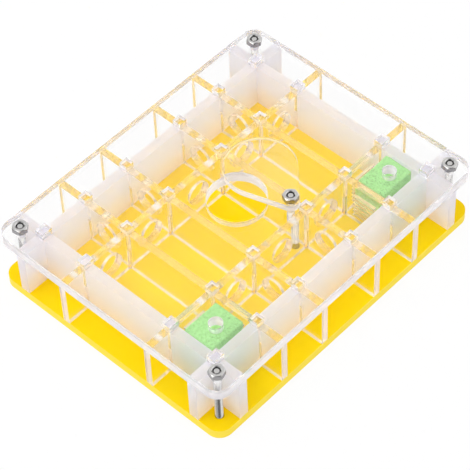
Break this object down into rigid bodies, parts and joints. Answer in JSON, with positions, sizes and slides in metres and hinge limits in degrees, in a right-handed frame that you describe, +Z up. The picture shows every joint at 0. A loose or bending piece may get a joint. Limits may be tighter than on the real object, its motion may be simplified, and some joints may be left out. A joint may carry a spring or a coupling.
{
  "type": "ant habitat",
  "caption": "Flat acrylic ant habitat: coloured base, clear bolted cover, egg-crate partitions with passage holes, swing lid over a feeding hole, sponges under filling holes.",
  "frame": {"origin": "centre of the underside of the base plate, on the surface the habitat stands on", "axes": "+X along the long side, +Z up, the two sponges towards -Y"},
  "size_m": [0.1368, 0.109, 0.0334],
  "materials": {
    "yellow_acrylic": "opaque yellow acrylic sheet, gloss, laser-cut edges",
    "clear_acrylic": "clear acrylic sheet, polished laser-cut edges",
    "frosted_acrylic": "frosted acrylic sheet, satin faces",
    "sponge": "open-cell cellulose sponge, pale green, matte",
    "stainless_steel": "bright stainless steel, turned and rolled"
  },
  "bodies": {
    "base": {"base_plate": "yellow_acrylic", "left_end_wall": "frosted_acrylic", "right_end_wall": "frosted_acrylic", "front_long_wall": "frosted_acrylic", "back_long_wall": "frosted_acrylic", "short_partition_outer_left": "clear_acrylic", "short_partition_inner_left": "clear_acrylic", "short_partition_inner_right": "clear_acrylic", "short_partition_outer_right": "clear_acrylic", "front_long_partition": "clear_acrylic", "back_long_partition": "clear_acrylic", "sponge_left": "sponge", "sponge_right": "sponge", "corner_bolt_front_left": "stainless_steel", "corner_bolt_front_right": "stainless_steel", "corner_bolt_back_left": "stainless_steel", "corner_bolt_back_right": "stainless_steel", "pivot_bolt": "stainless_steel"},
    "cover": {"cover_plate": "clear_acrylic"},
    "lid": {"swing_lid": "clear_acrylic"},
    "nut_front_left": {"corner_nut_front_left": "stainless_steel"},
    "nut_front_right": {"corner_nut_front_right": "stainless_steel"},
    "nut_back_left": {"corner_nut_back_left": "stainless_steel"},
    "nut_back_right": {"corner_nut_back_right": "stainless_steel"},
    "nut_pivot": {"pivot_nut": "stainless_steel"}
  },
  "joints": [
    {"name": "cover_lift", "type": "slide", "parent": "base", "child": "cover", "axis": [0, 0, 1], "range_m": [0, 0.04]},
    {"name": "lid_swing", "type": "hinge", "parent": "cover", "child": "lid", "pos_m": [0.0106, -0.0166, 0.028], "axis": [0, 0, 1], "continuous": true},
    {"name": "nut_front_left_turn", "type": "hinge", "parent": "cover", "child": "nut_front_left", "pos_m": [-0.0619, -0.048, 0.028], "axis": [0, 0, 1], "continuous": true},
    {"name": "nut_front_right_turn", "type": "hinge", "parent": "cover", "child": "nut_front_right", "pos_m": [0.0619, -0.048, 0.028], "axis": [0, 0, 1], "continuous": true},
    {"name": "nut_back_left_turn", "type": "hinge", "parent": "cover", "child": "nut_back_left", "pos_m": [-0.0619, 0.048, 0.028], "axis": [0, 0, 1], "continuous": true},
    {"name": "nut_back_right_turn", "type": "hinge", "parent": "cover", "child": "nut_back_right", "pos_m": [0.0619, 0.048, 0.028], "axis": [0, 0, 1], "continuous": true},
    {"name": "nut_pivot_turn", "type": "hinge", "parent": "cover", "child": "nut_pivot", "pos_m": [0.0106, -0.0166, 0.03105], "axis": [0, 0, 1], "continuous": true}
  ]
}
